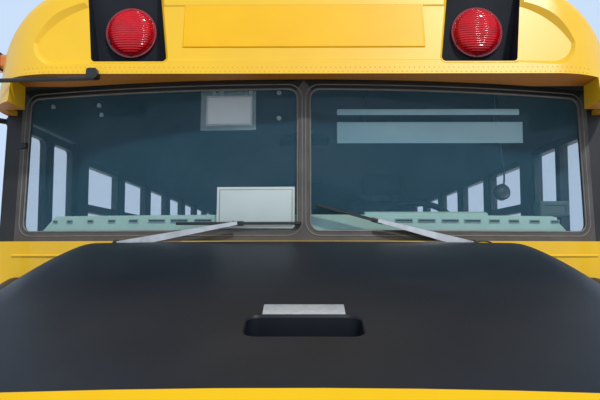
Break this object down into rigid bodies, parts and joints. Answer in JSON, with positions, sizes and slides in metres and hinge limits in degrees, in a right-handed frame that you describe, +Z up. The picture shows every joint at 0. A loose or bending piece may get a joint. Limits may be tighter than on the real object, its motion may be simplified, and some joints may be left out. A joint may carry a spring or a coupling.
{
  "type": "school bus",
  "caption": "Yellow school bus with a tilting bonnet, curved split windscreen, folding entry door, rear exit door, stop arm, roof hatch, bench seats and steering.",
  "frame": {"origin": "on the ground at the middle of the overall length and width", "axes": "+Y towards the rear along the length, +X towards the driver's side, +Z up"},
  "size_m": [2.99, 10.9, 3.1082],
  "materials": {
    "yellow_paint": "satin",
    "black_paint": "satin",
    "frame_paint": "matte",
    "steel": "brushed",
    "iron": "rough",
    "wheel_paint": "satin",
    "tyre_rubber": "matte",
    "seal_rubber": "matte",
    "clear_glass": "clear",
    "sash_metal": "satin",
    "floor_rubber": "matte",
    "inner_plastic": "matte",
    "seat_cover": "soft",
    "seat_fabric": "woven",
    "grip_plastic": "satin",
    "red_lens": "glossy",
    "amber_lens": "glossy",
    "lamp_clear": "glossy",
    "stop_red": "satin",
    "wiper_metal": "satin"
  },
  "bodies": {
    "bus_body": {"amber_lamps": "amber_lens", "bench_seats": "seat_cover", "chassis_frame": "frame_paint", "cowl": "yellow_paint", "crossmembers": "frame_paint", "dashboard": "inner_plastic", "driveline": "iron", "driver_seat": "seat_fabric", "engine": "iron", "exhaust": "steel", "floor": "floor_rubber", "front_axle": "frame_paint", "front_bumper": "black_paint", "front_cap": "yellow_paint", "fuel_tank": "steel", "leaf_springs": "frame_paint", "left_wall": "yellow_paint", "mirrors": "black_paint", "radiator": "steel", "rear_axle": "frame_paint", "rear_bumper": "black_paint", "rear_wall": "yellow_paint", "red_lamps": "red_lens", "right_wall": "yellow_paint", "roof": "yellow_paint", "rub_rails": "black_paint", "seat_frames": "steel", "steering_column": "grip_plastic", "stop_arm_bracket": "black_paint", "window_glass": "clear_glass", "window_sashes": "sash_metal", "windscreen": "clear_glass", "windscreen_seal": "seal_rubber", "wipers": "wiper_metal"},
    "bonnet": {"hood": "yellow_paint", "grille": "black_paint", "headlamps": "lamp_clear", "crossview_mirrors": "black_paint"},
    "left_steer": {"left_knuckle": "frame_paint"},
    "right_steer": {"right_knuckle": "frame_paint"},
    "track_rod": {"tie_rod": "frame_paint"},
    "front_left_road_wheel": {"front_left_wheel": "wheel_paint", "front_left_tyre": "tyre_rubber"},
    "front_right_road_wheel": {"front_right_wheel": "wheel_paint", "front_right_tyre": "tyre_rubber"},
    "rear_left_road_wheels": {"rear_left_wheels": "wheel_paint", "rear_left_tyres": "tyre_rubber"},
    "rear_right_road_wheels": {"rear_right_wheels": "wheel_paint", "rear_right_tyres": "tyre_rubber"},
    "entry_front_leaf": {"entry_door_front_leaf": "yellow_paint", "entry_door_front_glass": "clear_glass"},
    "entry_rear_leaf": {"entry_door_rear_leaf": "yellow_paint", "entry_door_rear_glass": "clear_glass"},
    "rear_exit": {"rear_door": "yellow_paint", "rear_door_glass": "clear_glass"},
    "stop_blade": {"stop_arm": "stop_red"},
    "hand_wheel": {"steering_wheel": "grip_plastic"},
    "roof_exit": {"roof_hatch": "yellow_paint"}
  },
  "joints": [
    {"name": "steer_left", "type": "hinge", "parent": "bus_body", "child": "left_steer", "pos_m": [0.92, -4.45, 0.5], "axis": [0, 0, 1], "range_deg": [-40, 40]},
    {"name": "steer_right", "type": "hinge", "parent": "bus_body", "child": "right_steer", "pos_m": [-0.92, -4.45, 0.5], "axis": [0, 0, 1], "range_deg": [-41, 41]},
    {"name": "track_rod_pivot", "type": "hinge", "parent": "left_steer", "child": "track_rod", "pos_m": [0.92, -4.3, 0.41], "axis": [0, 0, 1], "range_deg": [-41, 41]},
    {"name": "steering_turn", "type": "hinge", "parent": "bus_body", "child": "hand_wheel", "pos_m": [0.5, -3.25, 1.855], "axis": [0, 0.7071, 0.7071], "range_deg": [-725, 725]},
    {"name": "front_left_spin", "type": "hinge", "parent": "left_steer", "child": "front_left_road_wheel", "pos_m": [1.03, -4.45, 0.52], "axis": [1, 0, 0], "continuous": true},
    {"name": "front_right_spin", "type": "hinge", "parent": "right_steer", "child": "front_right_road_wheel", "pos_m": [-1.03, -4.45, 0.52], "axis": [1, 0, 0], "continuous": true},
    {"name": "rear_left_spin", "type": "hinge", "parent": "bus_body", "child": "rear_left_road_wheels", "pos_m": [0.89, 2, 0.52], "axis": [1, 0, 0], "continuous": true},
    {"name": "rear_right_spin", "type": "hinge", "parent": "bus_body", "child": "rear_right_road_wheels", "pos_m": [-0.89, 2, 0.52], "axis": [1, 0, 0], "continuous": true},
    {"name": "bonnet_tilt", "type": "hinge", "parent": "bus_body", "child": "bonnet", "pos_m": [0, -5.225, 0.78], "axis": [1, 0, 0], "range_deg": [0, 60]},
    {"name": "entry_front_swing", "type": "hinge", "parent": "bus_body", "child": "entry_front_leaf", "pos_m": [-1.224, -3.657, 1.395], "axis": [0, 0, 1], "range_deg": [0, 90]},
    {"name": "entry_rear_swing", "type": "hinge", "parent": "bus_body", "child": "entry_rear_leaf", "pos_m": [-1.224, -2.993, 1.395], "axis": [0, 0, -1], "range_deg": [0, 90]},
    {"name": "rear_exit_swing", "type": "hinge", "parent": "bus_body", "child": "rear_exit", "pos_m": [-0.352, 5.312, 1.6], "axis": [0, 0, 1], "range_deg": [0, 110]},
    {"name": "stop_arm_swing", "type": "hinge", "parent": "bus_body", "child": "stop_blade", "pos_m": [1.248, -2.905, 1.485], "axis": [0, 0, -1], "range_deg": [0, 90]},
    {"name": "roof_exit_lift", "type": "hinge", "parent": "bus_body", "child": "roof_exit", "pos_m": [0, 1.018, 3.07928], "axis": [-1, 0, 0], "range_deg": [0, 80]}
  ],
  "couplings": [
    {"joint": "steer_right", "follows": "steer_left", "ratio": 1},
    {"joint": "track_rod_pivot", "follows": "steer_left", "ratio": -1},
    {"joint": "steering_turn", "follows": "steer_left", "ratio": 18},
    {"joint": "entry_rear_swing", "follows": "entry_front_swing", "ratio": 1}
  ]
}
